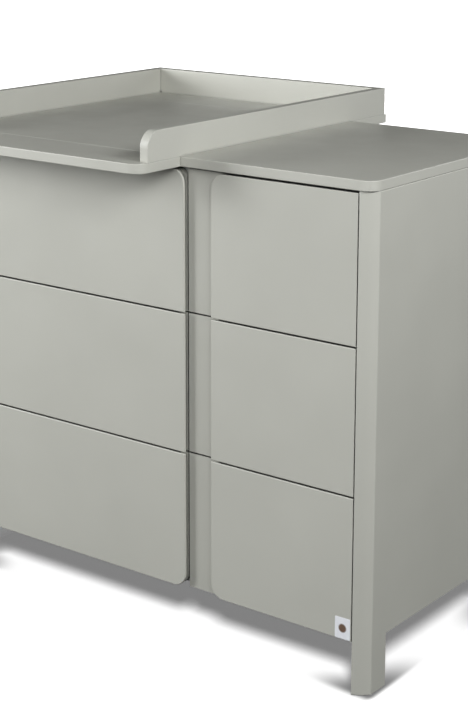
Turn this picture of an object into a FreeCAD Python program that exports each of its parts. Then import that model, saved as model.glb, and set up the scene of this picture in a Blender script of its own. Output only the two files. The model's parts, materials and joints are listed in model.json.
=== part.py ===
import FreeCAD
import Part
import Sketcher
import os
import re

# Changing table: a six-drawer dresser that carries a fixed, three-sided changing tray.
# Millimetres. +X is the object's right, +Y its back, +Z up. The origin is on the floor, in the
# middle of the footprint. Names in expressions are cells of the sheet or entries of PLACES.

SIZES = {
    # whole object
    "width": 1000,
    "height": 900,             # top surface of the dresser
    "depth": 540,              # depth of the dresser's top board
    "tray_width": 600,
    "tray_depth": 780,
    "front_reach": 112,        # how far the tray stands out in front of the dresser
    # boards of the carcass
    "board": 18,               # top, divider and tray boards
    "side": 28,                # side panels
    "floor_board": 16,
    "floor_rise": 3,           # bottom panel above the lower edge of the fronts
    "sheet": 3,                # back panel and drawer bottoms
    "groove": 5,               # how deep the thin sheets sit in their grooves
    "overhang": 1,             # top board in front of the drawer fronts
    "back_inset": 9,           # back panel in front of the dresser's back
    "divider_x": 100,          # middle of the upright divider
    "corner": 25,              # rounded corners of top and tray boards, seen from above
    "soft_edge": 1.5,
    # legs, cut out of the side panels
    "leg": 64,
    "leg_height": 100,
    "glide_height": 1.5,
    "glide_radius": 10,
    "glide_pin": 12,
    "pin_radius": 3,
    "nose_depth": 20,          # bulged front edge of a side panel
    "nose_radius": 66,
    "crease": 4,
    # walls of the tray
    "wall_height": 54,
    "wall_corner": 30,
    "rear_step": 5,            # rear board behind the back wall
    # drawer fronts
    "front_thick": 22,
    "front_height": 258,
    "front_bottom": 98,
    "gap": 3,
    "side_gap": 2.5,
    "grip_x": 106.5,           # right edge of the wide fronts
    "grip_width": 60,
    "grip_depth": 12.5,        # bottom of the finger groove behind the faces
    "lip": 4,                  # board left in front of the undercuts
    "undercut": 12,
    "face_corner": 27,         # rounded corners of a stack of faces
    # drawer boxes
    "box_side": 12,
    "box_height": 190,
    "box_length": 480,
    "box_rise": 32,            # box above the lower edge of its front
    "bottom_rise": 12,         # bottom sheet above the lower edge of the box
    # telescopic slides
    "slide_room": 13,          # between a box and its bay
    "slide_length": 450,
    "slide_rise": 70,          # slide's middle above the lower edge of the box
    "slide_height": 45,
    "slide_sheet": 1.2,
    "ball_gap": 3,
    "play": 1,
    "front_play": 2,           # between the fronts and the carcass behind them
    # cam fittings, dowels, screws and brackets
    "cam_radius": 7.5,
    "cam_depth": 12.5,
    "cam_reach": 34,           # cam's middle from the joint
    "bolt_radius": 3.5,
    "bolt_inset": 8,           # bolt's axis below the cam's face
    "bolt_bite": 11,
    "fitting_front": 70,
    "fitting_back": 62,
    "dowel_radius": 4,
    "dowel_shift": 32,
    "dowel_short": 10,
    "dowel_long": 20,
    "screw_radius": 2.25,
    "screw_head": 4.5,
    "screw_cone": 2.5,
    "screw_length": 45,
    "bracket_sheet": 2,
    "bracket_width": 30,
    "bracket_leg": 40,
    "bracket_shift": 180,
    "bracket_hole": 2.75,
    "bracket_hole_drop": 26,
    "margin": 10,              # how far cutting tools run past what they cut
}

PLACES = {
    "right": "width / 2",
    "inner": "right - side",
    "tray_left": "-right",
    "tray_right": "tray_left + tray_width",
    "tray_middle": "tray_left + tray_width / 2",
    "tray_front": "-tray_depth / 2",
    "tray_back": "tray_depth / 2",
    "top_front": "tray_front + front_reach",
    "top_back": "top_front + depth",
    "face": "top_front + overhang",
    "groove_floor": "face + grip_depth",
    "front_back": "face + front_thick",
    "back_panel_front": "top_back - back_inset - sheet",
    "under_top": "height - board",
    "floor_under": "front_bottom + floor_rise",
    "floor_top": "floor_under + floor_board",
    "wall_top": "height + wall_height",
    "wall_back": "tray_back - rear_step",
    "wall_front": "tray_front + corner",
    "raised_left": "grip_x + grip_width",
    "fitting_y1": "face + fitting_front",
    "fitting_y2": "top_back - fitting_back",
    "tray_mid_z": "height - board / 2",
}

TOLERANCE = 0.01               # lengths closer than this are the same
LONG_EDGE = 1                  # edges along an axis are longer than this
SKETCH_RADIUS = 100            # circle that an outline's corners are drawn on before they are placed
LEVELS = ("lower", "centre", "upper")
AXES = {
    "X": FreeCAD.Rotation(FreeCAD.Vector(0, 1, 0), 90),
    "Y": FreeCAD.Rotation(FreeCAD.Vector(1, 0, 0), -90),
    "Z": FreeCAD.Rotation(),
}

doc = FreeCAD.newDocument("ChangingTable")
sheet = doc.addObject("Spreadsheet::Sheet", "Sizes")
for row, (alias, size) in enumerate(SIZES.items(), start=1):
    sheet.set(f"A{row}", alias)
    sheet.set(f"B{row}", str(size))
    sheet.setAlias(f"B{row}", alias)
doc.recompute()

nodes = []


def formula(text):
    """Expression text in which every place is spelled out and every size points at the sheet."""
    def expand(match):
        word = match.group(0)
        if word in PLACES:
            return f"({formula(PLACES[word])})"
        return f"Sizes.{word}" if word in SIZES else word
    return re.sub(r"[A-Za-z]\w*", expand, str(text))


def bind(item, **texts):
    for name, text in texts.items():
        item.setExpression(name.replace("__", "."), formula(text))
    return item


def span(low, high):
    return f"({high}) - ({low})"


def keep(item, label):
    """Marks an object as a finished sub-part under its own label."""
    item.Label = label
    nodes.append(item)
    return item


# ---- plain shapes ------------------------------------------------------------------------------

def box(name, x, y, z):
    """A block between three (low, high) pairs."""
    block = doc.addObject("Part::Box", name)
    bind(block, Length=span(*x), Width=span(*y), Height=span(*z))
    return bind(block, Placement__Base__x=x[0], Placement__Base__y=y[0], Placement__Base__z=z[0])


def rod(name, axis, start, length, radius):
    """A round bar that leaves the point start along +X, +Y or +Z."""
    bar = doc.addObject("Part::Cylinder", name)
    bar.Placement = FreeCAD.Placement(FreeCAD.Vector(), AXES[axis])
    bind(bar, Radius=radius, Height=length)
    return bind(bar, Placement__Base__x=start[0], Placement__Base__y=start[1], Placement__Base__z=start[2])


def group(name, items):
    bundle = doc.addObject("Part::Compound", name)
    bundle.Links = items
    return bundle


def cut(name, base, tool):
    carved = doc.addObject("Part::Cut", name)
    carved.Base = base
    carved.Tool = tool
    return carved


def mirror(name, source, middle_x):
    twin = doc.addObject("Part::Mirroring", name)
    twin.Source = source
    twin.Normal = (1, 0, 0)
    return bind(twin, Base__x=middle_x)


# ---- bodies with sketches ----------------------------------------------------------------------

def add_plate(body, role, corners, low, high):
    """Pads a straight-sided outline, drawn on an origin plane, from low to high along its normal."""
    sketch = body.newObject("Sketcher::SketchObject", f"{body.Name}_outline")
    plane = next(item for item in body.Origin.OriginFeatures if item.Role == role)
    sketch.AttachmentSupport = [(plane, "")]
    sketch.MapMode = "FlatFace"
    # The XZ plane looks along -Y, the other two along their positive axis.
    bind(sketch, AttachmentOffset__Base__z=f"-({high})" if role == "XZ_Plane" else low)
    count = len(corners)
    turn = FreeCAD.Rotation(FreeCAD.Vector(0, 0, 1), 360 / count)
    start = [FreeCAD.Vector(SKETCH_RADIUS, 0, 0)]
    while len(start) < count:
        start.append(turn.multVec(start[-1]))
    for index in range(count):
        sketch.addGeometry(Part.LineSegment(start[index], start[(index + 1) % count]))
    for index in range(count):
        sketch.addConstraint(Sketcher.Constraint("Coincident", index, 2, (index + 1) % count, 1))
    pin_points(sketch, corners, start)
    return add_pad(body, sketch, span(low, high))


def pin_points(sketch, corners, start):
    """Ties the first point of each edge, drawn at start, to its expressions."""
    for index, (across, along) in enumerate(corners):
        first = start[index]
        for kind, text, drawn in (("DistanceX", across, first.x), ("DistanceY", along, first.y)):
            number = sketch.addConstraint(Sketcher.Constraint(kind, -1, 1, index, 1, drawn))
            sketch.renameConstraint(number, f"{kind}{index}")
            sketch.setExpression(f"Constraints.{kind}{index}", formula(text))


def add_pad(body, sketch, length):
    pad = body.newObject("PartDesign::Pad", f"{body.Name}_pad")
    pad.Profile = sketch
    bind(pad, Length=length)
    doc.recompute()
    return pad


def rectangle(x, y):
    return [(x[0], y[0]), (x[1], y[0]), (x[1], y[1]), (x[0], y[1])]


def round_edges(body, radius, wanted):
    """Rounds the edges of the body's last feature for which wanted(edge box, shape box) is true."""
    base = body.Tip
    whole = base.Shape.BoundBox
    names = [f"Edge{number}" for number, edge in enumerate(base.Shape.Edges, start=1)
             if wanted(edge.BoundBox, whole)]
    fillet = body.newObject("PartDesign::Fillet", f"{body.Name}_round")
    fillet.Base = (base, names)
    bind(fillet, Radius=radius)
    doc.recompute()
    return fillet


def near(first, second):
    return abs(first - second) < TOLERANCE


def is_upright(edge):
    return edge.XLength < TOLERANCE and edge.YLength < TOLERANCE


def in_top_or_bottom(edge, whole):
    level = edge.ZLength < TOLERANCE
    return level and (near(edge.ZMin, whole.ZMin) or near(edge.ZMax, whole.ZMax))


def new_body(name):
    return doc.addObject("PartDesign::Body", name)


# ---- fittings: everything that sits in bores of the boards -------------------------------------

def both_sides(reach):
    """(x start, x middle) of something that leaves each side panel's inner face by reach."""
    return (("inner", "inner + bolt_inset"), (f"-inner - {reach}", "-inner - bolt_inset"))


def cam_places():
    """(cam axis, cam start, bolt axis, bolt start) of every cam joint in the carcass."""
    high = "under_top - cam_reach"
    places = []
    for y in ("fitting_y1", "fitting_y2"):
        for cam_x, bolt_x in both_sides("cam_depth"):
            places.append(("X", (cam_x, y, high), "Z", (bolt_x, y, high)))
        divider_cam = "divider_x + board / 2 - cam_depth"
        places.append(("X", (divider_cam, y, high), "Z", ("divider_x", y, high)))
        places.append(("X", (divider_cam, y, "floor_top + cam_reach"),
                       "Z", ("divider_x", y, "floor_top - bolt_bite")))
        bolt_z = "floor_under + bolt_inset"
        places.append(("Z", ("inner - cam_reach", y, "floor_under"),
                       "X", ("inner - cam_reach", y, bolt_z)))
        places.append(("Z", ("cam_reach - inner", y, "floor_under"),
                       "X", ("-inner - bolt_bite", y, bolt_z)))
    return places


def cams_and_bolts():
    cams = []
    bolts = []
    for number, (cam_axis, cam_start, bolt_axis, bolt_start) in enumerate(cam_places(), start=1):
        cams.append(rod(f"cam_{number}", cam_axis, cam_start, "cam_depth", "cam_radius"))
        bolts.append(rod(f"bolt_{number}", bolt_axis, bolt_start, "cam_reach + bolt_bite", "bolt_radius"))
    bolt_group = group("bolts", bolts)
    cam_group = cut("cams", group("cam_blanks", cams), bolt_group)
    return keep(cam_group, "cam_locks"), keep(bolt_group, "cam_bolts")


def dowel_places():
    """(axis, start) of every dowel. Short end first, or middle on the joint for the tray boards."""
    middle_z = "floor_under + bolt_inset"
    places = []
    for fitting_y in ("fitting_y1", "fitting_y2"):
        y = f"{fitting_y} + dowel_shift"
        for x in ("right - side / 2", "side / 2 - right", "divider_x"):
            places.append(("Z", (x, y, "under_top - dowel_long")))
        places.append(("Z", ("divider_x", y, "floor_top - dowel_short")))
        places.append(("X", ("inner - dowel_long", y, middle_z)))
        places.append(("X", ("-inner - dowel_short", y, middle_z)))
    for joint in ("top_front", "top_back"):
        for x in ("tray_left + 3 * board", "tray_middle", "tray_right - 3 * board"):
            places.append(("Y", (x, f"{joint} - (dowel_long + dowel_short) / 2", "tray_mid_z")))
    return places


def dowels():
    pegs = [rod(f"dowel_{number}", axis, start, "dowel_long + dowel_short", "dowel_radius")
            for number, (axis, start) in enumerate(dowel_places(), start=1)]
    return keep(group("dowels", pegs), "dowels")


def screw(name, x, y, z):
    """A countersunk screw that points up, with its head's face at z."""
    head = doc.addObject("Part::Cone", f"{name}_head")
    bind(head, Radius1="screw_head", Radius2="screw_radius", Height="screw_cone")
    bind(head, Placement__Base__x=x, Placement__Base__y=y, Placement__Base__z=z)
    shank = rod(f"{name}_shank", "Z", (x, y, f"{z} + screw_cone"),
                "screw_length - screw_cone", "screw_radius")
    whole = doc.addObject("Part::Fuse", name)
    whole.Base = head
    whole.Tool = shank
    return whole


def wall_screws():
    """Screws from below: four in each side wall, one in the back wall, one in each bracket."""
    screws = []
    front_spots = ("tray_front + front_reach / 2", "top_front - board")
    rear_spots = ("top_back + board", "wall_back - 2 * board")
    for x in ("tray_left + board / 2", "tray_right - board / 2"):
        for y in front_spots + rear_spots:
            screws.append(screw(f"screw_{len(screws)}", x, y, "under_top"))
    back_y = "wall_back - board / 2"
    screws.append(screw(f"screw_{len(screws)}", "tray_middle", back_y, "under_top"))
    for x in ("tray_middle + bracket_shift", "tray_middle - bracket_shift"):
        screws.append(screw(f"screw_{len(screws)}", x, back_y, "under_top - bracket_sheet"))
    return keep(group("screws", screws), "wall_screws")


def glides():
    feet = []
    for x in ("right - side / 2", "side / 2 - right"):
        for y in ("face + leg / 2", "top_back - leg / 2"):
            number = len(feet)
            disc = rod(f"glide_disc_{number}", "Z", (x, y, "0"), "glide_height", "glide_radius")
            pin = rod(f"glide_pin_{number}", "Z", (x, y, "glide_height"), "glide_pin", "pin_radius")
            foot = doc.addObject("Part::Fuse", f"glide_{number}")
            foot.Base = disc
            foot.Tool = pin
            feet.append(foot)
    return keep(group("feet", feet), "floor_glides")


# ---- carcass -----------------------------------------------------------------------------------

def back_panel():
    panel = box("back_sheet", ("-inner - groove", "inner + groove"),
                ("back_panel_front", "back_panel_front + sheet"), ("floor_under", "under_top - play"))
    return keep(panel, "back_panel")


def side_blank():
    """Right side panel in plan: a board whose front outer edge is one bulged arc."""
    body = new_body("side_blank")
    sketch = body.newObject("Sketcher::SketchObject", "side_outline")
    plane = next(item for item in body.Origin.OriginFeatures if item.Role == "XY_Plane")
    sketch.AttachmentSupport = [(plane, "")]
    sketch.MapMode = "FlatFace"
    bind(sketch, AttachmentOffset__Base__z="glide_height")
    outer = SIZES["width"] / 2
    inner = outer - SIZES["side"]
    front = SIZES["front_reach"] - SIZES["tray_depth"] / 2
    back = front + SIZES["depth"]
    nose_end = front + SIZES["nose_depth"]
    start = [FreeCAD.Vector(x, y, 0) for x, y in
             ((inner, front), (outer, nose_end), (outer, back), (inner, back))]
    # a point of the arc, off the middle of its chord on the outside
    chord = start[1] - start[0]
    outward = FreeCAD.Vector(chord.y, -chord.x, 0).normalize()
    radius = SIZES["nose_radius"]
    rise = radius - (radius ** 2 - (chord.Length / 2) ** 2) ** 0.5
    sketch.addGeometry(Part.Arc(start[0], (start[0] + start[1]) / 2 + outward * rise, start[1]))
    for index in (1, 2, 3):
        sketch.addGeometry(Part.LineSegment(start[index], start[(index + 1) % 4]))
    for index in range(4):
        sketch.addConstraint(Sketcher.Constraint("Coincident", index, 2, (index + 1) % 4, 1))
    pin_points(sketch, [("inner", "face"), ("right", "face + nose_depth"),
                        ("right", "top_back"), ("inner", "top_back")], start)
    number = sketch.addConstraint(Sketcher.Constraint("Radius", 0, radius))
    sketch.renameConstraint(number, "nose")
    sketch.setExpression("Constraints.nose", formula("nose_radius"))
    add_pad(body, sketch, span("glide_height", "under_top"))
    round_edges(body, "crease", lambda edge, whole:
                is_upright(edge) and near(edge.XMax, whole.XMax) and edge.YMin < whole.Center.y)
    round_edges(body, "soft_edge", in_top_or_bottom)
    return body


def side_panels(fittings):
    leg_gap = box("leg_gap", ("-right - margin", "right + margin"),
                  ("face + leg", "top_back - leg"), ("-margin", "leg_height"))
    tools = group("side_tools", [leg_gap, fittings])
    right_blank = side_blank()
    left_blank = mirror("left_side_blank", right_blank, "0")
    keep(cut("side_right", right_blank, tools), "right_side_panel")
    keep(cut("side_left", left_blank, tools), "left_side_panel")


def flat_board(name, x, y, rounded):
    """A board at the level of the dresser's top with soft edges and the chosen upright edges rounded."""
    body = new_body(name)
    add_plate(body, "XY_Plane", rectangle(x, y), "under_top", "height")
    if rounded:
        round_edges(body, "corner", lambda edge, whole: is_upright(edge) and near(edge.YMin, whole.YMin))
    round_edges(body, "soft_edge", in_top_or_bottom)
    return body


def top_boards(fittings):
    top = flat_board("top_blank", ("-right", "right"), ("top_front", "top_back"), True)
    front = flat_board("front_blank", ("tray_left", "tray_right"), ("tray_front", "top_front"), True)
    rear = flat_board("rear_blank", ("tray_left", "tray_right"), ("top_back", "tray_back"), False)
    keep(cut("top", top, fittings), "top_board")
    keep(cut("front_board", front, fittings), "tray_front_board")
    keep(cut("rear_board", rear, fittings), "tray_rear_board")


def inner_boards(fittings):
    depth = ("front_back + front_play", "back_panel_front")
    floor = box("floor_blank", ("-inner", "inner"), depth, ("floor_under", "floor_top"))
    divider = box("divider_blank", ("divider_x - board / 2", "divider_x + board / 2"), depth,
                  ("floor_top", "under_top"))
    keep(cut("floor", floor, fittings), "bottom_panel")
    keep(cut("divider", divider, fittings), "divider")


# ---- tray --------------------------------------------------------------------------------------

def tray_walls(fittings):
    right = new_body("right_wall_blank")
    add_plate(right, "YZ_Plane", rectangle(("wall_front", "wall_back"), ("height", "wall_top")),
              "tray_right - board", "tray_right")
    round_edges(right, "wall_corner", lambda edge, whole:
                edge.XLength > LONG_EDGE and near(edge.YMax, whole.YMin) and near(edge.ZMin, whole.ZMax))
    round_edges(right, "soft_edge", lambda edge, whole:
                edge.XLength < TOLERANCE and edge.ZMax > whole.ZMin + LONG_EDGE)
    left = mirror("left_wall_blank", right, "tray_middle")
    back = new_body("back_wall_blank")
    add_plate(back, "YZ_Plane", rectangle(("wall_back - board", "wall_back"), ("height", "wall_top")),
              "tray_left + board", "tray_right - board")
    round_edges(back, "soft_edge", lambda edge, whole:
                edge.XLength > LONG_EDGE and near(edge.ZMin, whole.ZMax))
    keep(cut("wall_right", right, fittings), "tray_right_wall")
    keep(cut("wall_left", left, fittings), "tray_left_wall")
    keep(cut("wall_rear", back, fittings), "tray_back_wall")


def wall_brackets(screws):
    """Two steel angles under the rear board, each with a hole that faces the room's wall."""
    y = ("tray_back - bracket_leg", "tray_back - bracket_sheet", "tray_back")
    z = ("under_top - bracket_leg", "under_top - bracket_sheet", "under_top")
    middle = "tray_middle + bracket_shift"
    angle = new_body("bracket_blank")
    add_plate(angle, "YZ_Plane",
              [(y[0], z[1]), (y[1], z[1]), (y[1], z[0]), (y[2], z[0]), (y[2], z[2]), (y[0], z[2])],
              f"{middle} - bracket_width / 2", f"{middle} + bracket_width / 2")
    round_edges(angle, "bracket_sheet * 1.5", lambda edge, whole:
                edge.XLength > LONG_EDGE and near(edge.YMin, whole.YMax) and near(edge.ZMin, whole.ZMax))
    hole = rod("bracket_hole", "Y", (middle, "tray_back - margin", "under_top - bracket_hole_drop"),
               "2 * margin", "bracket_hole")
    first = cut("bracket_right", angle, group("bracket_tools", [screws, hole]))
    second = mirror("bracket_left", first, "tray_middle")
    keep(group("brackets", [first, second]), "wall_brackets")


# ---- drawers -----------------------------------------------------------------------------------

COLUMNS = {
    # bay limits, fixed outer edge of the front, and the edge of its back plate, core and lip
    "wide": {"bay": ("-inner", "divider_x - board / 2"), "outer": "side_gap - inner",
             "edges": ("grip_x + play - gap", "grip_x - undercut", "grip_x"),
             "radii": ("face_corner + play - gap", "face_corner - undercut", "face_corner")},
    "narrow": {"bay": ("divider_x + board / 2", "inner"), "outer": "inner - side_gap",
               "edges": ("grip_x + play", "raised_left + undercut", "raised_left"),
               "radii": (None, "face_corner - undercut", "face_corner")},
}
LAYERS = {
    "plate": ("groove_floor", "front_back"),
    "core": ("face + lip", "groove_floor"),
    "lip": ("face", "face + lip"),
}


def front_layer(name, column, level, edge_x, radius, z, depth):
    """One layer of a front, rounded at the grip-side corner where a stack of fronts ends."""
    outer = COLUMNS[column]["outer"]
    grip_side = 1 if column == "wide" else -1
    layer = new_body(name)
    x = (outer, edge_x) if column == "wide" else (edge_x, outer)
    add_plate(layer, "XZ_Plane", rectangle(x, z), *depth)

    def is_corner(edge, whole):
        at_grip = grip_side * (edge.XMin - whole.Center.x) > 0
        at_end = near(edge.ZMin, whole.ZMax if level == "upper" else whole.ZMin)
        return edge.YLength > LONG_EDGE and at_grip and at_end

    if radius and level != "centre":
        round_edges(layer, radius, is_corner)
    return layer


def front_blank(name, column, level, z):
    """A front in three layers, back to front, so that its lip stands over an undercut finger grip."""
    data = COLUMNS[column]
    layers = [front_layer(f"{name}_{part}", column, level, edge_x, radius, z, depth)
              for part, edge_x, radius, depth in zip(LAYERS, data["edges"], data["radii"], LAYERS.values())]
    round_edges(layers[-1], "soft_edge", lambda edge, whole:
                edge.YLength < TOLERANCE and near(edge.YMin, whole.YMin))
    whole = doc.addObject("Part::MultiFuse", name)
    whole.Shapes = layers
    return whole


def channel(name, x, y, z_middle, height, web_low):
    """A C-section along Y. Its web is at the low-X side if web_low is true, else at the high-X side."""
    outer = box(f"{name}_outer", x, y, (f"{z_middle} - ({height}) / 2", f"{z_middle} + ({height}) / 2"))
    hollow_x = (f"{x[0]} + slide_sheet", f"{x[1]} + margin") if web_low else \
        (f"{x[0]} - margin", f"{x[1]} - slide_sheet")
    half = f"(({height}) / 2 - slide_sheet)"
    hollow = box(f"{name}_hollow", hollow_x, (f"{y[0]} - margin", f"{y[1]} + margin"),
                 (f"{z_middle} - {half}", f"{z_middle} + {half}"))
    return cut(name, outer, hollow)


def from_wall(wall, on_left, start, stop):
    """The X range from start to stop, counted from a bay's left or right wall into the bay."""
    if on_left:
        return (f"{wall} + {start}", f"{wall} + {stop}")
    return (f"{wall} - ({stop})", f"{wall} - ({start})")


def slides(name, bay, z_box):
    """Cabinet, middle and drawer members on both sides of a drawer, one inside the other."""
    y = ("front_back + front_play", "front_back + front_play + slide_length")
    z = f"{z_box} + slide_rise"
    step = "2 * (slide_sheet + ball_gap)"
    cabinet, middle, inner = [], [], []
    for side, wall in zip(("left", "right"), bay):
        on_left = side == "left"
        tag = f"{name}_{side}"
        outer_x = from_wall(wall, on_left, "0", "slide_room - play")
        middle_x = from_wall(wall, on_left, "(slide_sheet + play)", "slide_room - 2 * play")
        inner_x = from_wall(wall, on_left, "(slide_sheet + ball_gap + play)", "slide_room")
        cabinet.append(channel(f"{tag}_cabinet", outer_x, y, z, "slide_height", on_left))
        middle.append(channel(f"{tag}_middle", middle_x, y, z, f"slide_height - {step}", on_left))
        inner.append(channel(f"{tag}_inner", inner_x, y, z, f"slide_height - 2 * {step}", not on_left))
    keep(group(f"{name}_middle", middle), f"{name}_middle_slides")
    keep(group(f"{name}_inner", inner), f"{name}_inner_slides")
    return cabinet


def drawer(column, index):
    """One drawer: front, box and slides. Returns the slide members that stay in the cabinet."""
    level = LEVELS[index]
    name = f"{column}_{level}"
    bay = COLUMNS[column]["bay"]
    z_front = f"(front_bottom + {index} * (front_height + gap))"
    z_box = f"({z_front} + box_rise)"
    z_sheet = f"({z_box} + bottom_rise)"
    z_top = f"{z_box} + box_height"
    x = (f"{bay[0]} + slide_room", f"{bay[1]} - slide_room")
    x_inside = (f"{x[0]} + box_side", f"{x[1]} - box_side")
    y_end = "front_back + box_length"
    bottom = box(f"{name}_sheet", (f"{x_inside[0]} - groove", f"{x_inside[1]} + groove"),
                 ("front_back - groove", y_end), (z_sheet, f"{z_sheet} + sheet"))
    front = front_blank(f"{name}_blank", column, level, (z_front, f"{z_front} + front_height"))
    left = box(f"{name}_left_blank", (x[0], x_inside[0]), ("front_back", y_end), (z_box, z_top))
    right = box(f"{name}_right_blank", (x_inside[1], x[1]), ("front_back", y_end), (z_box, z_top))
    back = box(f"{name}_rear", x_inside, (f"{y_end} - box_side", y_end), (f"{z_sheet} + sheet", z_top))
    keep(cut(f"{name}_face", front, bottom), f"{name}_front")
    keep(cut(f"{name}_left", left, bottom), f"{name}_left_side")
    keep(cut(f"{name}_right", right, bottom), f"{name}_right_side")
    keep(back, f"{name}_back")
    keep(bottom, f"{name}_base")
    return slides(name, bay, z_box)


# ---- the whole object --------------------------------------------------------------------------

cam_locks, cam_bolts = cams_and_bolts()
screws = wall_screws()
fittings = group("fittings", [doc.getObject("cam_blanks"), cam_bolts, dowels(), screws, glides(),
                              back_panel()])
side_panels(fittings)
inner_boards(fittings)
top_boards(fittings)
tray_walls(fittings)
wall_brackets(screws)

cabinet_slides = []
for column in COLUMNS:
    for index in range(len(LEVELS)):
        cabinet_slides += drawer(column, index)
keep(group("cabinet_members", cabinet_slides), "cabinet_slides")

doc.recompute()
for item in doc.Objects:
    if "Invalid" in item.State or "Error" in item.State:
        raise RuntimeError(f"{item.Label} failed: {item.State}")
for node in nodes:
    if node.Shape.isNull() or not node.Shape.isValid():
        raise RuntimeError(f"{node.Label} has no valid shape")

os.makedirs("parts", exist_ok=True)
for node in nodes:
    node.Shape.exportStep(f"parts/{node.Label}.step")
    print(f"{node.Label}: {len(node.Shape.Solids)} solids, {node.Shape.Volume / 1000:.1f} cm3")
print(len(nodes), "nodes")
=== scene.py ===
import json
import math

import bmesh
import bpy
from mathutils import Matrix, Vector


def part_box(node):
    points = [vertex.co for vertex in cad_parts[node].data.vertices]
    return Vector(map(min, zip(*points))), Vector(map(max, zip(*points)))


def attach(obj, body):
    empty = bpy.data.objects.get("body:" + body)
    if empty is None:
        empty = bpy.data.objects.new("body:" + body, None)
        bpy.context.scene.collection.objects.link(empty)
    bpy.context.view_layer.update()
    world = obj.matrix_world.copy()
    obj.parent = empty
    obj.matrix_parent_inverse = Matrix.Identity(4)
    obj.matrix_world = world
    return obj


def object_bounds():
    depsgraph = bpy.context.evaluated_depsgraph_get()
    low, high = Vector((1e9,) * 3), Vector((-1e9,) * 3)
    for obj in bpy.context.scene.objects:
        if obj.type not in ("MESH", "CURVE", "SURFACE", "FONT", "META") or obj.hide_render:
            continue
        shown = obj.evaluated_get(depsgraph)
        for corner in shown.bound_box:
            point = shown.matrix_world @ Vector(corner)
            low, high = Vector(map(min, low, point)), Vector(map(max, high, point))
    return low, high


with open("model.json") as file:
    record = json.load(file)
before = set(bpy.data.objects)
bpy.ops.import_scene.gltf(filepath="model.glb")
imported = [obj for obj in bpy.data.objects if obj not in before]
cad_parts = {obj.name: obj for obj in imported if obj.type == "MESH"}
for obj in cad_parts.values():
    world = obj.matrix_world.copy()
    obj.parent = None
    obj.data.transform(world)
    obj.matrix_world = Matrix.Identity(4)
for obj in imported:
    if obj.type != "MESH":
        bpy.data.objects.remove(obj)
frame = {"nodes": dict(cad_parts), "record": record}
cad_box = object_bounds()

# Looks of the changing table. Metres, in the frame's own axes: +X right, +Y back, +Z up.

NODES = frame["nodes"]
SLOTS = {part["node"]: part["material_slot"] for part in frame["record"]["subparts"]}
DRAWERS = [f"{column}_{level}" for column in ("wide", "narrow") for level in ("lower", "centre", "upper")]
MM = 0.001
SAME_POINT = 0.01 * MM
X, Y, Z = Vector((1, 0, 0)), Vector((0, 1, 0)), Vector((0, 0, 1))


# ---- materials ---------------------------------------------------------------------------------

NOISE_RANGE = (0.3, 0.7)          # most of a noise pattern lies between these
# painted shade: the lacquer's colour is taken towards black in gaps, joints and inner corners, where
# ambient occlusion finds little open sky
GAP_REACH = 10 * MM
GAP_SAMPLES = 6
GAP_OPENNESS = (0.25, 0.75)       # share of the sky that a point sees within GAP_REACH
GAP_SHADE_COLOUR_LEFT = (0.05, 1.6)     # share of the colour that the painted gap shade leaves, held at 1 by the mix
BLACK = (0, 0, 0)
GREIGE = (0.475, 0.472, 0.42)
WHITE = (0.78, 0.78, 0.75)


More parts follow.
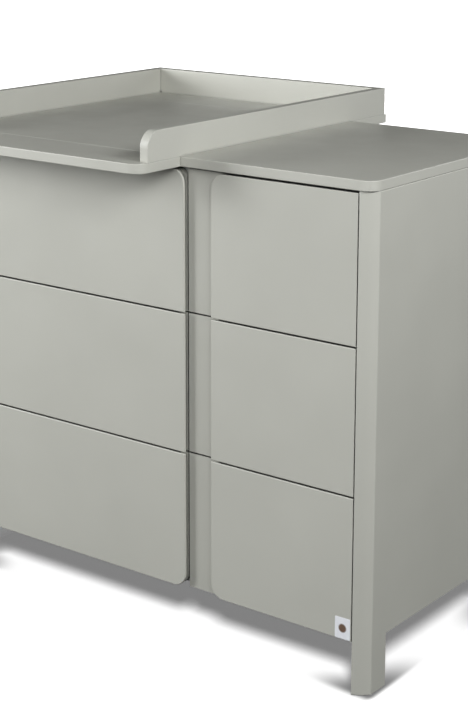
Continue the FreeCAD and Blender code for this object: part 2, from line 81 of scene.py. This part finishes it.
class Finish:
    """A Principled material with short ways to add the textures that the finishes here share."""

    def __init__(self, name, roughness, colours, metallic=0.0):
        self.material = bpy.data.materials.new(name)
        self.material.use_nodes = True
        self.tree = self.material.node_tree
        self.surface = self.tree.nodes["Principled BSDF"]
        self.surface.inputs["Metallic"].default_value = metallic
        self.place = self.add("ShaderNodeTexCoord").outputs["Object"]
        self.roughness = roughness
        self.colours = colours
        self.relief = None

    def add(self, kind, **settings):
        node = self.tree.nodes.new(kind)
        for name, value in settings.items():
            setattr(node, name, value)
        return node

    def join(self, source, target):
        self.tree.links.new(source, target)

    def noise(self, scale, detail=3, squeeze=(1, 1, 1)):
        """A noise pattern with scale cells to the metre, times squeeze along each axis."""
        mapping = self.add("ShaderNodeMapping")
        mapping.inputs["Scale"].default_value = squeeze
        self.join(self.place, mapping.inputs["Vector"])
        noise = self.add("ShaderNodeTexNoise")
        noise.inputs["Scale"].default_value = scale
        noise.inputs["Detail"].default_value = detail
        self.join(mapping.outputs["Vector"], noise.inputs["Vector"])
        return noise.outputs["Fac"]

    def fade(self, value, source, target, interpolation="LINEAR"):
        """Maps a value from the source range to the target range, and holds it past either end."""
        span = self.add("ShaderNodeMapRange", interpolation_type=interpolation)
        for socket, limit in zip(("From Min", "From Max", "To Min", "To Max"), (*source, *target)):
            span.inputs[socket].default_value = limit
        self.join(value, span.inputs["Value"])
        return span.outputs["Result"]

    def tint(self, factor, first, second):
        """A colour between first and second, each a colour or a socket."""
        mix = self.add("ShaderNodeMix", data_type="RGBA")
        self.join(factor, mix.inputs["Factor"])
        for socket, colour in ((mix.inputs["A"], first), (mix.inputs["B"], second)):
            if isinstance(colour, bpy.types.NodeSocket):
                self.join(colour, socket)
            else:
                socket.default_value = (*colour, 1)
        return mix.outputs["Result"]

    def paint(self, factor):
        """Lays the two colours of the finish over the surface by a pattern."""
        colour = self.tint(self.fade(factor, NOISE_RANGE, (0, 1)), *self.colours)
        self.join(colour, self.surface.inputs["Base Color"])
        return colour

    def paint_gap_shade(self, colour):
        """Paints shade into the colour: takes it down towards black in joints, gaps and inner corners that
        are narrower than GAP_REACH.
        """
        openness = self.add("ShaderNodeAmbientOcclusion", samples=GAP_SAMPLES)
        openness.inputs["Distance"].default_value = GAP_REACH
        left = self.fade(openness.outputs["AO"], GAP_OPENNESS, GAP_SHADE_COLOUR_LEFT)
        # painted shade: black mixed into the colour where little sky is open
        self.join(self.tint(left, BLACK, colour), self.surface.inputs["Base Color"])

    def gloss(self, factor):
        """Spreads the finish's two roughnesses over the surface by a pattern."""
        self.join(self.fade(factor, NOISE_RANGE, self.roughness), self.surface.inputs["Roughness"])

    def emboss(self, value, depth):
        """Adds relief of the given depth in metres, on top of any relief before it."""
        bump = self.add("ShaderNodeBump")
        bump.inputs["Distance"].default_value = depth
        self.join(value, bump.inputs["Height"])
        if self.relief:
            self.join(self.relief, bump.inputs["Normal"])
        self.relief = bump.outputs["Normal"]
        self.join(self.relief, self.surface.inputs["Normal"])


def shade(colour, factor):
    return tuple(channel * factor for channel in colour)


def lacquer():
    """Satin lacquer on fibreboard: faint clouds of tone, painted shade in gaps and inner corners, a fine
    orange peel and uneven gloss.
    """
    finish = Finish("greige_lacquer", (0.34, 0.46), (shade(GREIGE, 0.975), shade(GREIGE, 1.025)))
    # painted shade in the gaps and inner corners, over the clouds of tone
    finish.paint_gap_shade(finish.paint(finish.noise(5, detail=5)))
    finish.gloss(finish.noise(14, detail=4))
    finish.emboss(finish.noise(420, detail=2), 0.02 * MM)
    finish.emboss(finish.noise(60, detail=2), 0.03 * MM)
    return finish.material


def grain(along, share):
    """The squeeze of a pattern whose marks are drawn out along one axis."""
    return tuple(share if axis == along else 1 for axis in (X, Y, Z))


def foil(name, along):
    """White foil with a pressed pore pattern that runs along one axis of the board."""
    finish = Finish(name, (0.38, 0.56), (shade(WHITE, 0.96), shade(WHITE, 1.02)))
    finish.paint(finish.noise(9, detail=6, squeeze=grain(along, 0.15)))
    pores = finish.noise(260, squeeze=grain(along, 0.06))
    finish.gloss(pores)
    finish.emboss(pores, 0.06 * MM)
    return finish.material


def timber():
    """Raw birch of the dowels, with fibres along Z."""
    finish = Finish("birch", (0.5, 0.7), ((0.60, 0.43, 0.24), (0.74, 0.57, 0.36)))
    fibres = finish.noise(600, detail=4, squeeze=grain(Z, 0.08))
    finish.paint(fibres)
    finish.gloss(fibres)
    finish.emboss(fibres, 0.08 * MM)
    return finish.material


def zinc():
    """Zinc plated sheet: a cool grey metal, rolled along Y, with faint spangle."""
    finish = Finish("zinc", (0.24, 0.42), ((0.60, 0.61, 0.62), (0.72, 0.73, 0.74)), metallic=0.45)
    finish.paint(finish.noise(90, detail=4))
    rolled = finish.noise(700, detail=2, squeeze=grain(Y, 0.03))
    finish.gloss(rolled)
    finish.emboss(rolled, 0.015 * MM)
    return finish.material


def plastic(name, colour, roughness):
    """Moulded plastic with a fine even texture."""
    finish = Finish(name, roughness, (shade(colour, 0.95), shade(colour, 1.03)))
    finish.paint(finish.noise(80))
    finish.gloss(finish.noise(300, detail=2))
    finish.emboss(finish.noise(900, detail=2), 0.02 * MM)
    return finish.material


FOILS = {
    "across": foil("white_foil_across", X),
    "deep": foil("white_foil_deep", Y),
    "upright": foil("white_foil_upright", Z),
}
FINISHES = {
    "lacquered_board": lacquer(),
    "birch": timber(),
    "zinc_plated_steel": zinc(),
    "nylon": plastic("grey_nylon", (0.16, 0.16, 0.155), (0.4, 0.6)),
    "white_plastic": plastic("white_plastic", (0.76, 0.76, 0.73), (0.28, 0.4)),
}
EASED_EDGES = {"white_board": 0.5 * MM, "zinc_plated_steel": 0.15 * MM}
FLAT_ANGLE = math.radians(1)
EASED_ANGLE = math.radians(50)
CREASE_ANGLE = math.radians(35)


def grain_of(node):
    """The way that a white board's grain runs."""
    if node in ("back_panel", "divider"):
        return "upright"
    return "deep" if node.endswith("_side") else "across"


def finish_cad_nodes():
    """Gives every CAD node its finish, and soft edges where the CAD has sharp ones."""
    for name, item in NODES.items():
        slot = SLOTS[name]
        material = FOILS[grain_of(name)] if slot == "white_board" else FINISHES[slot]
        item.data.materials.clear()
        item.data.materials.append(material)
        if slot in EASED_EDGES:
            ease_edges(item, EASED_EDGES[slot])


def ease_edges(item, width):
    """Breaks the sharp edges of a plain board or sheet."""
    weld = item.modifiers.new("weld", "WELD")
    weld.merge_threshold = SAME_POINT
    flat = item.modifiers.new("flat_faces", "DECIMATE")
    flat.decimate_type = "DISSOLVE"
    flat.angle_limit = FLAT_ANGLE
    eased = item.modifiers.new("eased_edges", "BEVEL")
    eased.width = width
    eased.segments = 2
    eased.limit_method = "ANGLE"
    eased.angle_limit = EASED_ANGLE


# ---- building pieces ---------------------------------------------------------------------------

def piece(name, mesh, material, body, smooth=False):
    """Turns mesh data into a piece that rides on a body of the frame."""
    bmesh.ops.recalc_face_normals(mesh, faces=mesh.faces)
    data = bpy.data.meshes.new(name)
    mesh.to_mesh(data)
    mesh.free()
    data.materials.append(material)
    if smooth:
        data.shade_smooth()
        data.set_sharp_from_angle(angle=CREASE_ANGLE)
    item = bpy.data.objects.new(name, data)
    bpy.context.scene.collection.objects.link(item)
    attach(item, body)
    return item


def facing(point, direction):
    """A matrix that puts +Z along direction, with its origin at point."""
    return Matrix.Translation(point) @ direction.to_track_quat("Z", "Y").to_matrix().to_4x4()


def rings(mesh, place, loops):
    """Skins a stack of loops of points, each given in the piece's own space, and caps both ends."""
    rows = [[mesh.verts.new(place @ Vector(point)) for point in loop] for loop in loops]
    count = len(rows[0])
    for row, following in zip(rows, rows[1:]):
        for index in range(count):
            after = (index + 1) % count
            mesh.faces.new((row[index], row[after], following[after], following[index]))
    mesh.faces.new(list(reversed(rows[0])))
    mesh.faces.new(rows[-1])


def circle(radius, height, angles):
    """A loop of points round +Z, in the directions given."""
    return [(radius * math.cos(angle), radius * math.sin(angle), height) for angle in angles]


CROSS_ARM = 0.55       # reach of a recess arm, as a share of the head's radius
CROSS_WIDTH = 0.16     # half the width of an arm, as a share of the same
CROSS_TURN = math.atan(CROSS_WIDTH / CROSS_ARM)
HEAD_ANGLES = [quarter * math.pi / 2 + turn for quarter in range(4)
               for turn in (0, CROSS_TURN, math.pi / 4, math.pi / 2 - CROSS_TURN)]
ROUND_SIDES = 32
ROUND_ANGLES = [index * math.tau / ROUND_SIDES for index in range(ROUND_SIDES)]
TINY = 1e-9
HEAD_PROFILE = ((1, 0), (1, 0.45), (0.92, 0.8), (0.72, 1))    # shares of a head's radius and height
RECESS_FLOOR = (0.8, 0.25)
CAP_PROFILE = ((1.0, 0), (1.0, 0.35), (0.95, 0.6), (0.88, 0.62), (0.84, 0.5), (0.8, 0.52),
               (0.7, 0.78), (0.45, 0.94), (0.15, 1.0))


def cross(radius, height):
    """The outline of a cross recess, in the same directions as the head's circles."""
    loop = []
    for angle in HEAD_ANGLES:
        across, along = sorted((abs(math.cos(angle)), abs(math.sin(angle))))
        reach = CROSS_ARM / along
        if across > TINY:
            reach = min(reach, CROSS_WIDTH / across)
        loop.append((radius * reach * math.cos(angle), radius * reach * math.sin(angle), height))
    return loop


def screw_head(mesh, point, direction, radius, height):
    """A low domed head with a cross recess, standing on point."""
    loops = [circle(share * radius, level * height, HEAD_ANGLES) for share, level in HEAD_PROFILE]
    loops.append(cross(radius, height))
    share, level = RECESS_FLOOR
    loops.append(cross(share * radius, level * height))
    rings(mesh, facing(point, direction), loops)


def cover_cap(mesh, point, direction, radius, height):
    """A thin domed cover cap with a raised rim."""
    loops = [circle(share * radius, level * height, ROUND_ANGLES) for share, level in CAP_PROFILE]
    rings(mesh, facing(point, direction), loops)


def solids(node):
    """The lowest and highest corners of each separate solid of a CAD node."""
    mesh = bmesh.new()
    mesh.from_mesh(NODES[node].data)
    bmesh.ops.remove_doubles(mesh, verts=mesh.verts, dist=SAME_POINT)
    boxes = []
    seen = set()
    for first in mesh.verts:
        if first in seen:
            continue
        seen.add(first)
        waiting = [first]
        points = []
        while waiting:
            vertex = waiting.pop()
            points.append(vertex.co.copy())
            for edge in vertex.link_edges:
                other = edge.other_vert(vertex)
                if other not in seen:
                    seen.add(other)
                    waiting.append(other)
        boxes.append(tuple(Vector(limit(point[axis] for point in points) for axis in range(3))
                           for limit in (min, max)))
    mesh.free()
    return boxes


def evenly(low, high, count):
    """Values from low to high, both included, with even steps."""
    return [low + (high - low) * index / (count - 1) for index in range(count)]


# ---- fittings ----------------------------------------------------------------------------------

SHEET = 1.2 * MM                  # thickness of the slides' steel sheet
CAM_CAP = (8.5 * MM, 1.4 * MM)    # radius and height, as in the pairs below
BOX_CAP = (8 * MM, 1.3 * MM)
WALL_SCREW = (4.4 * MM, 0.5 * MM)
PANEL_SCREW = (4 * MM, 1.6 * MM)
BOX_SCREW = (3.6 * MM, 0.5 * MM)
CABINET_SLIDE_SCREW = (3.5 * MM, 0.7 * MM)
DRAWER_SLIDE_SCREW = (3.5 * MM, 1.8 * MM)
INSIDE = 0.5 * MM                 # a cam that lies this far past a board's face is let into that board
PANEL_SCREW_INSET = 60 * MM
SCREWS_UP_DIVIDER = 5
SCREWS_ALONG_BOTTOM = 6
SLIDE_SCREWS = 4
CABINET_SLIDE_INSET = 35 * MM
DRAWER_SLIDE_INSETS = (30 * MM, 60 * MM)
BOX_SCREW_LEVEL = 0.2             # share of a box's height, from either edge
BOX_CAP_INSET = 34 * MM
BALL_RADIUS = 1.5 * MM
BALLS = 15                        # in each row
BALL_INSET = 8 * MM
STRIP = (1.8 * MM, 0.3 * MM)      # half the width and half the thickness of a ball strip
STRIP_INSET = 4 * MM


def cam_caps():
    """White cover caps over the cam locks, on the face that each cam is let into."""
    mesh = bmesh.new()
    right_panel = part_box("right_side_panel")[0].x + INSIDE
    for low, high in solids("cam_locks"):
        middle = (low + high) / 2
        if high.z - low.z < high.x - low.x:
            direction, point = -Z, Vector((middle.x, middle.y, low.z))
        elif middle.x > right_panel:
            direction, point = -X, Vector((low.x, middle.y, middle.z))
        else:
            direction, point = X, Vector((high.x, middle.y, middle.z))
        cover_cap(mesh, point, direction, *CAM_CAP)
    return piece("cam_caps", mesh, FINISHES["white_plastic"], "cabinet", smooth=True)


def underside_screw_heads():
    """Heads of the screws that hold the tray walls and the brackets from below."""
    mesh = bmesh.new()
    for low, high in solids("wall_screws"):
        middle = (low + high) / 2
        screw_head(mesh, Vector((middle.x, middle.y, low.z)), -Z, *WALL_SCREW)
    return piece("underside_screw_heads", mesh, FINISHES["zinc_plated_steel"], "cabinet",
                 smooth=True)


def back_panel_screws():
    """Screws that hold the back panel to the divider and to the bottom panel."""
    mesh = bmesh.new()
    panel_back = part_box("back_panel")[1].y
    divider_low, divider_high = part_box("divider")
    floor_low, floor_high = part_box("bottom_panel")
    inset = PANEL_SCREW_INSET
    spots = [((divider_low.x + divider_high.x) / 2, z)
             for z in evenly(divider_low.z + inset, divider_high.z - inset, SCREWS_UP_DIVIDER)]
    spots += [(x, (floor_low.z + floor_high.z) / 2)
              for x in evenly(floor_low.x + inset, floor_high.x - inset, SCREWS_ALONG_BOTTOM)]
    for x, z in spots:
        screw_head(mesh, Vector((x, panel_back, z)), Y, *PANEL_SCREW)
    return piece("back_panel_screws", mesh, FINISHES["zinc_plated_steel"], "cabinet",
                 smooth=True)


def cabinet_slide_screws():
    """Flat heads on the webs of the slide members that stay in the cabinet."""
    mesh = bmesh.new()
    for low, high in solids("cabinet_slides"):
        on_left = is_left_member(low, high)
        x = low.x + SHEET if on_left else high.x - SHEET
        direction = X if on_left else -X
        for y in evenly(low.y + CABINET_SLIDE_INSET, high.y - CABINET_SLIDE_INSET, SLIDE_SCREWS):
            point = Vector((x, y, (low.z + high.z) / 2))
            screw_head(mesh, point, direction, *CABINET_SLIDE_SCREW)
    return piece("cabinet_slide_screws", mesh, FINISHES["zinc_plated_steel"], "cabinet",
                 smooth=True)


def is_left_member(low, high):
    """Whether a slide member is at the left wall of its bay."""
    divider_low, divider_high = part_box("divider")
    left_bay_middle = (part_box("left_side_panel")[1].x + divider_low.x) / 2
    right_bay_middle = (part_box("right_side_panel")[0].x + divider_high.x) / 2
    middle = (low.x + high.x) / 2
    return middle < left_bay_middle or divider_high.x - MM < middle < right_bay_middle


def drawer_fittings(name):
    """Screws and caps of one drawer box, and the screws of the slide members on it."""
    body = f"{name}_drawer"
    left_low, left_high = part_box(f"{name}_left_side")
    right_low, right_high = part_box(f"{name}_right_side")
    from_edge = BOX_SCREW_LEVEL * (left_high.z - left_low.z)
    levels = (left_low.z + from_edge, left_high.z - from_edge)
    back_low, back_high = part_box(f"{name}_back")
    back_y = (back_low.y + back_high.y) / 2
    caps_y = left_low.y + BOX_CAP_INSET
    screws = bmesh.new()
    caps = bmesh.new()
    for outer, inner, outward in ((left_low.x, left_high.x, -X), (right_high.x, right_low.x, X)):
        for z in levels:
            screw_head(screws, Vector((outer, back_y, z)), outward, *BOX_SCREW)
            cover_cap(caps, Vector((inner, caps_y, z)), -outward, *BOX_CAP)
    front_inset, back_inset = DRAWER_SLIDE_INSETS
    for low, high in solids(f"{name}_inner_slides"):
        on_left = is_left_member(low, high)
        x = high.x - SHEET if on_left else low.x + SHEET
        direction = -X if on_left else X
        for y in evenly(low.y + front_inset, high.y - back_inset, SLIDE_SCREWS):
            point = Vector((x, y, (low.z + high.z) / 2))
            screw_head(screws, point, direction, *DRAWER_SLIDE_SCREW)
    piece(f"{name}_box_screws", screws, FINISHES["zinc_plated_steel"], body,
          smooth=True)
    piece(f"{name}_box_caps", caps, FINISHES["white_plastic"], body, smooth=True)


def ball_cages(name):
    """Balls and their strips between the nested slide members, kept where both members overlap."""
    mesh = bmesh.new()
    half_width, half_thickness = STRIP
    for low, high in solids(f"{name}_middle_slides"):
        middle = (low + high) / 2
        half_height = (high.z - low.z) / 2
        outside = (middle.y, high.y, half_height + BALL_RADIUS)
        inside = (low.y, middle.y, half_height - SHEET - BALL_RADIUS)
        for start, end, rise in (outside, inside):
            for side in (-1, 1):
                z = middle.z + side * rise
                for y in evenly(start + BALL_INSET, end - BALL_INSET, BALLS):
                    bmesh.ops.create_icosphere(mesh, subdivisions=2, radius=BALL_RADIUS,
                                               matrix=Matrix.Translation((middle.x, y, z)))
                corners = ((-1, -1), (1, -1), (1, 1), (-1, 1))
                loops = [[(middle.x + across * half_width, y, z + up * half_thickness)
                          for across, up in corners]
                         for y in (start + STRIP_INSET, end - STRIP_INSET)]
                rings(mesh, Matrix.Identity(4), loops)
    return piece(f"{name}_ball_cages", mesh, FINISHES["zinc_plated_steel"], f"{name}_middle_slides",
                 smooth=True)


# ---- label -------------------------------------------------------------------------------------

LABEL = (31 * MM, 39 * MM, 0.3 * MM)      # width, height and thickness
LABEL_MARGIN = 1.5 * MM
LABEL_CORNER = 2 * MM
CORNER_STEPS = 4
EDGE_DEPTH = 0.1 * MM
EDGE_SHARE = 0.994                        # size of the label's face beside its outline
MARK_RIM = (6.5 * MM, 9 * MM)             # the brown of the mark fades out between these radii
MARK_BROWN = (0.16, 0.10, 0.07)


def label_material(centre):
    """A white sticker with a plain round brown mark."""
    finish = Finish("label", (0.3, 0.4), ((0.80, 0.81, 0.84), (0.84, 0.85, 0.87)))
    paper = finish.paint(finish.noise(120))
    distance = finish.add("ShaderNodeVectorMath", operation="DISTANCE")
    distance.inputs[1].default_value = centre
    finish.join(finish.place, distance.inputs[0])
    mark = finish.fade(distance.outputs["Value"], MARK_RIM, (1, 0))
    marked = finish.tint(mark, paper, MARK_BROWN)
    finish.join(marked, finish.surface.inputs["Base Color"])
    finish.gloss(finish.noise(200))
    finish.emboss(finish.noise(500), 0.02 * MM)
    return finish.material


def label():
    """A sticker with rounded corners at the lower right of the lowest narrow front."""
    low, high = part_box("narrow_lower_front")
    width, height, thickness = LABEL
    right = high.x - LABEL_MARGIN
    bottom = low.z + LABEL_MARGIN
    centre = Vector((right - width / 2, low.y, bottom + height / 2))
    loop = []
    for across, up, start in ((1, -1, -90), (1, 1, 0), (-1, 1, 90), (-1, -1, 180)):
        for step in range(CORNER_STEPS + 1):
            angle = math.radians(start + 90 * step / CORNER_STEPS)
            loop.append((across * (width / 2 - LABEL_CORNER) + LABEL_CORNER * math.cos(angle),
                         up * (height / 2 - LABEL_CORNER) + LABEL_CORNER * math.sin(angle)))
    mesh = bmesh.new()
    layers = ((1, 0), (1, thickness - EDGE_DEPTH), (EDGE_SHARE, thickness))
    loops = [[(centre.x + x * share, low.y - depth, centre.z + z * share) for x, z in loop]
             for share, depth in layers]
    rings(mesh, Matrix.Identity(4), loops)
    return piece("plain_label", mesh, label_material(centre), "narrow_lower_drawer")


# ---- studio ------------------------------------------------------------------------------------

FOOT_SHADOWS = ((0.142, 0.068, 1), (0.08, 0.19, 1))    # reach inwards along X and Y of the shadows painted beside each foot. Z is always 0
FOOT_SHADOW_RIM = (0.016, 0.028, 1)                    # reach outwards
FOOT_SHADOW_FADE = (0.25, 1)                           # black up to the first share of the reach
GLOW_REACH = (0.02, 0.55)                              # distances outside the object's footprint
GLOW = (0.22, 1.1)
FLOOR_SIZE = 60


def studio_floor():
    """A wide pale floor under the glides, with shadow painted into its colour close to each foot and a
    painted glow away from the object. It ends in plain white.
    """
    finish = Finish("studio_floor", (0.6, 0.75), ((0.86, 0.86, 0.86), (0.88, 0.88, 0.88)))

    def vector(operation, first, second=(0, 0, 0)):
        """One vector calculation on sockets, or on a socket and a fixed vector."""
        step = finish.add("ShaderNodeVectorMath", operation=operation)
        finish.join(first, step.inputs[0])
        if isinstance(second, tuple):
            step.inputs[1].default_value = second
        else:
            finish.join(second, step.inputs[1])
        return step.outputs["Value" if operation == "LENGTH" else "Vector"]

    def half_size(low, high):
        """Half the size of a box on the floor."""
        return (*((high - low) / 2).xy, 0)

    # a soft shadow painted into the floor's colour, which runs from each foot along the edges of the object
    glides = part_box("floor_glides")
    middle = (glides[0] + glides[1]) / 2
    outward = vector("ABSOLUTE", vector("SUBTRACT", finish.place, (*middle.xy, 0)))
    past_glides = vector("SUBTRACT", outward, half_size(*glides))
    nearest = None
    for reach in FOOT_SHADOWS:
        inside = vector("MULTIPLY", past_glides, tuple(-1 / size for size in reach))
        outside = vector("MULTIPLY", past_glides, tuple(1 / size for size in FOOT_SHADOW_RIM))
        distance = vector("LENGTH", vector("MAXIMUM", inside, outside))
        if nearest:
            least = finish.add("ShaderNodeMath", operation="MINIMUM")
            finish.join(nearest, least.inputs[0])
            finish.join(distance, least.inputs[1])
            distance = least.outputs[0]
        nearest = distance
    lit = finish.fade(nearest, FOOT_SHADOW_FADE, (0, 1), "SMOOTHSTEP")
    pale = finish.paint(finish.noise(0.7, detail=2))
    # painted shadow: black mixed into the floor's colour near each foot
    finish.join(finish.tint(lit, BLACK, pale), finish.surface.inputs["Base Color"])
    finish.gloss(finish.noise(3, detail=2))
    finish.emboss(finish.noise(40, detail=2), 0.05 * MM)
    # the floor glows with the distance outside the footprint, so that it has no horizon: painted light,
    # which holds the shadow under the object at a grey and fades the object's shadow out further away
    past_footprint = vector("SUBTRACT", outward, half_size(*cad_box))
    away = vector("LENGTH", vector("MAXIMUM", past_footprint))
    glow = finish.fade(away, GLOW_REACH, GLOW, "SMOOTHSTEP")
    finish.join(glow, finish.surface.inputs["Emission Strength"])
    finish.surface.inputs["Emission Color"].default_value = (1, 1, 1, 1)
    mesh = bmesh.new()
    bmesh.ops.create_grid(mesh, x_segments=12, y_segments=12, size=FLOOR_SIZE)
    data = bpy.data.meshes.new("studio_floor")
    mesh.to_mesh(data)
    mesh.free()
    data.materials.append(finish.material)
    floor = bpy.data.objects.new("studio_floor", data)
    floor.location.z = cad_box[0].z
    bpy.context.scene.collection.objects.link(floor)
    floor.visible_diffuse = False
    floor.visible_glossy = False
    return floor


def around(azimuth, distance, height):
    """A point round the object, at azimuth 0 in front of it and at 90 to its right."""
    angle = math.radians(azimuth)
    return Vector((distance * math.sin(angle), -distance * math.cos(angle), height))


def light_floor(lamp, floor, alone):
    """Makes a lamp light the floor alone, or everything but the floor."""
    linked = bpy.data.collections.new(f"{lamp.name}_linking")
    linked.objects.link(floor)
    if not alone:
        linked.collection_objects[0].light_linking.link_state = "EXCLUDE"
    lamp.light_linking.receiver_collection = linked


LAMP_DISTANCE = 3.15
LAMP_COLOUR = (0.965, 0.98, 1.0)
LAMPS = (
    # azimuth, height, size, power
    (-75, 1.4, 0.9, 29),
    (-50, 1.4, 0.9, 58),
    (-50, 2.1, 0.9, 20),
    (0, 1.4, 0.9, 16),
    (25, 0.5, 0.9, 2.5),
    (25, 2.1, 0.9, 19),
    (50, 0.5, 0.9, 2.5),
    (50, 2.4, 0.9, 31),
    (75, 0.5, 0.9, 1.5),
    (75, 2.5, 0.9, 70),
    (143, 1.3, 0.9, 14.6),
    (190, 0.45, 0.8, 45),
)
TARGET_Y = -0.1
TARGET_HEIGHT = 0.75
SUN_AZIMUTH = 37
SUN_ELEVATION = 40
SUN_WIDTH = 13
SUN_STRENGTH = 4.6
WORLD_STRENGTH = 1.1


def softbox(name, azimuth, height, size, power):
    """A square area light round the object, which looks at it levelly or from above."""
    data = bpy.data.lights.new(name, "AREA")
    data.shape = "SQUARE"
    data.size = size
    data.energy = power
    data.color = LAMP_COLOUR
    lamp = bpy.data.objects.new(name, data)
    place = around(azimuth, LAMP_DISTANCE, height)
    target = Vector((0, TARGET_Y, min(height, TARGET_HEIGHT)))
    lamp.matrix_world = facing(place, place - target)
    bpy.context.scene.collection.objects.link(lamp)
    return lamp


def floor_sun(floor):
    """A wide soft sun that lights the floor alone, so that the floor stays white round the object."""
    data = bpy.data.lights.new("floor_sun", "SUN")
    data.angle = math.radians(SUN_WIDTH)
    data.energy = SUN_STRENGTH
    lamp = bpy.data.objects.new("floor_sun", data)
    elevation = math.radians(SUN_ELEVATION)
    direction = around(SUN_AZIMUTH, math.cos(elevation), math.sin(elevation))
    lamp.matrix_world = facing(direction, direction)
    bpy.context.scene.collection.objects.link(lamp)
    light_floor(lamp, floor, True)


def world_light():
    """A white background that doesn't light the object."""
    world = bpy.data.worlds.new("studio")
    world.use_nodes = True
    background = world.node_tree.nodes["Background"]
    background.inputs["Color"].default_value = (1, 1, 1, 1)
    background.inputs["Strength"].default_value = WORLD_STRENGTH
    world.cycles_visibility.diffuse = False
    world.cycles_visibility.glossy = False
    bpy.context.scene.world = world


def studio():
    """A pale floor, soft lamps round the object and a white background."""
    floor = studio_floor()
    for number, (azimuth, height, size, power) in enumerate(LAMPS, start=1):
        lamp = softbox(f"softbox_{number}", azimuth, height, size, power)
        light_floor(lamp, floor, False)
    floor_sun(floor)
    world_light()
    bpy.context.scene.view_settings.view_transform = "Standard"


CAMERA_PLACE = (1.922, -2.509, 1.385)
CAMERA_TILT = 11.593       # degrees below level
CAMERA_ROLL = -0.112
CAMERA_HEADING = 37.391    # degrees to the left of straight back
LENS = 83.8
SENSOR = 36
SHIFT = -0.2
FARTHEST = 200


def camera():
    """The camera stands in front of the object, to its right, and looks down at it."""
    data = bpy.data.cameras.new("camera")
    data.lens = LENS
    data.sensor_width = SENSOR
    data.shift_y = SHIFT
    data.clip_end = FARTHEST
    item = bpy.data.objects.new("camera", data)
    item.location = CAMERA_PLACE
    item.rotation_euler = [math.radians(angle) for angle in (90 - CAMERA_TILT, CAMERA_ROLL, CAMERA_HEADING)]
    bpy.context.scene.collection.objects.link(item)
    bpy.context.scene.camera = item


finish_cad_nodes()
cam_caps()
underside_screw_heads()
back_panel_screws()
cabinet_slide_screws()
for drawer in DRAWERS:
    drawer_fittings(drawer)
    ball_cages(drawer)
label()
studio()
camera()
